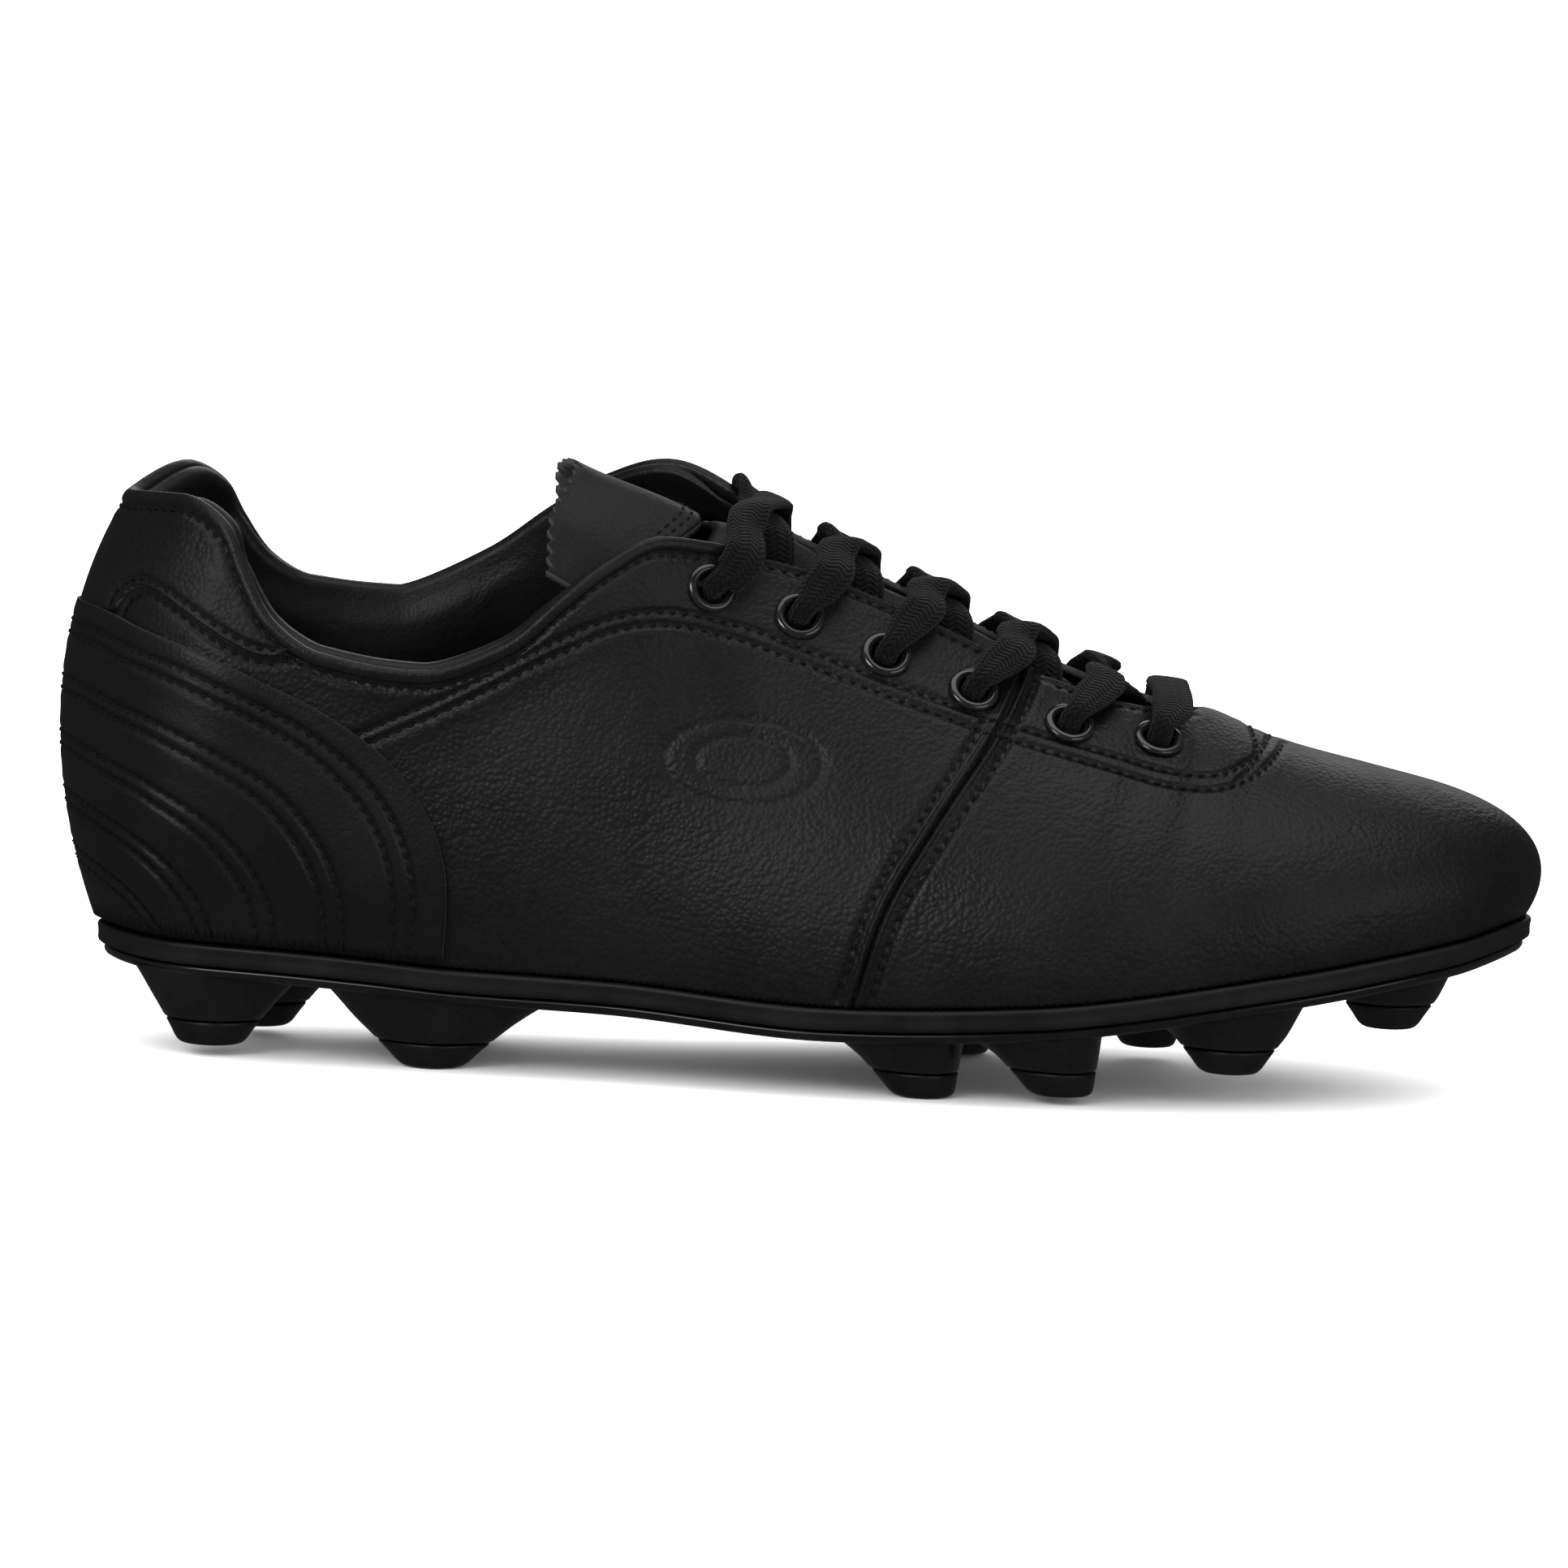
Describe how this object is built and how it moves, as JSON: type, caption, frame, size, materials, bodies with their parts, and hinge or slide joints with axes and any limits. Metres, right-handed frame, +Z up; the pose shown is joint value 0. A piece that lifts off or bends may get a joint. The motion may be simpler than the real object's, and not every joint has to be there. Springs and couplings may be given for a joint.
{
  "type": "soccer cleat",
  "caption": "Low laced leather football boot for firm ground: soft vamp, layered heel cap, padded collar, tongue and a moulded sole with flared conical studs.",
  "frame": {"origin": "under the middle of the bounding box, on the ground that the studs stand on", "axes": "+X towards the toe, -Y towards the outer side, +Z up"},
  "size_m": [0.2872, 0.0962, 0.1163],
  "materials": {
    "full_grain_leather": "soft black full-grain leather with a fine pebble grain, satin",
    "lining_leather": "smooth black lining leather, satin",
    "collar_foam": "black open-cell foam",
    "sock_liner_foam": "black fabric over moulded foam",
    "leatherboard": "fibre board, matt",
    "midsole_rubber": "black rubber, satin",
    "outsole_polymer": "black moulded polyurethane, glossy",
    "stud_tip_polymer": "black moulded polyurethane, satin",
    "spring_steel": "spring steel strip",
    "black_enamel": "black enamel on brass, glossy",
    "woven_polyester": "black flat woven polyester",
    "aglet_plastic": "black plastic film, glossy"
  },
  "bodies": {
    "boot": {"vamp": "full_grain_leather", "quarter_outer": "full_grain_leather", "quarter_inner": "full_grain_leather", "collar_panel": "full_grain_leather", "heel_cap": "full_grain_leather", "topline_binding": "full_grain_leather", "lining_forefoot": "lining_leather", "lining_outer": "lining_leather", "lining_inner": "lining_leather", "collar_foam": "collar_foam", "sock_liner": "sock_liner_foam", "heel_counter": "leatherboard", "toe_puff": "leatherboard", "insole_board": "leatherboard", "eyelet_facing_outer": "leatherboard", "eyelet_facing_inner": "leatherboard", "midsole": "midsole_rubber", "outsole": "outsole_polymer", "stud_tip_heel_outer_rear": "stud_tip_polymer", "stud_tip_heel_outer_front": "stud_tip_polymer", "stud_tip_heel_inner_rear": "stud_tip_polymer", "stud_tip_heel_inner_front": "stud_tip_polymer", "stud_tip_ball_outer_rear": "stud_tip_polymer", "stud_tip_ball_outer_front": "stud_tip_polymer", "stud_tip_toe_outer_rear": "stud_tip_polymer", "stud_tip_toe_outer_front": "stud_tip_polymer", "stud_tip_ball_inner_rear": "stud_tip_polymer", "stud_tip_ball_inner_front": "stud_tip_polymer", "stud_tip_toe_inner_rear": "stud_tip_polymer", "stud_tip_toe_inner_front": "stud_tip_polymer", "shank": "spring_steel", "eyelet_outer_1": "black_enamel", "eyelet_outer_2": "black_enamel", "eyelet_outer_3": "black_enamel", "eyelet_outer_4": "black_enamel", "eyelet_outer_5": "black_enamel", "eyelet_outer_6": "black_enamel", "eyelet_inner_1": "black_enamel", "eyelet_inner_2": "black_enamel", "eyelet_inner_3": "black_enamel", "eyelet_inner_4": "black_enamel", "eyelet_inner_5": "black_enamel", "eyelet_inner_6": "black_enamel", "lace": "woven_polyester", "lace_tail_outer": "woven_polyester", "lace_tail_inner": "woven_polyester", "aglet_outer": "aglet_plastic", "aglet_inner": "aglet_plastic"},
    "tongue": {"tongue": "full_grain_leather"},
    "tongue_flap": {"tongue_flap": "full_grain_leather"}
  },
  "joints": [
    {"name": "tongue_hinge", "type": "hinge", "parent": "boot", "child": "tongue", "pos_m": [0.069, 0, 0.066], "axis": [0, 1, 0], "range_deg": [-6, 0], "stiffness_Nm_per_rad": 0.4, "springref_deg": 1.72},
    {"name": "tongue_flap_hinge", "type": "hinge", "parent": "tongue", "child": "tongue_flap", "pos_m": [-0.0195, 0, 0.1035], "axis": [0, 1, 0], "range_deg": [-20, 10], "stiffness_Nm_per_rad": 0.03}
  ]
}
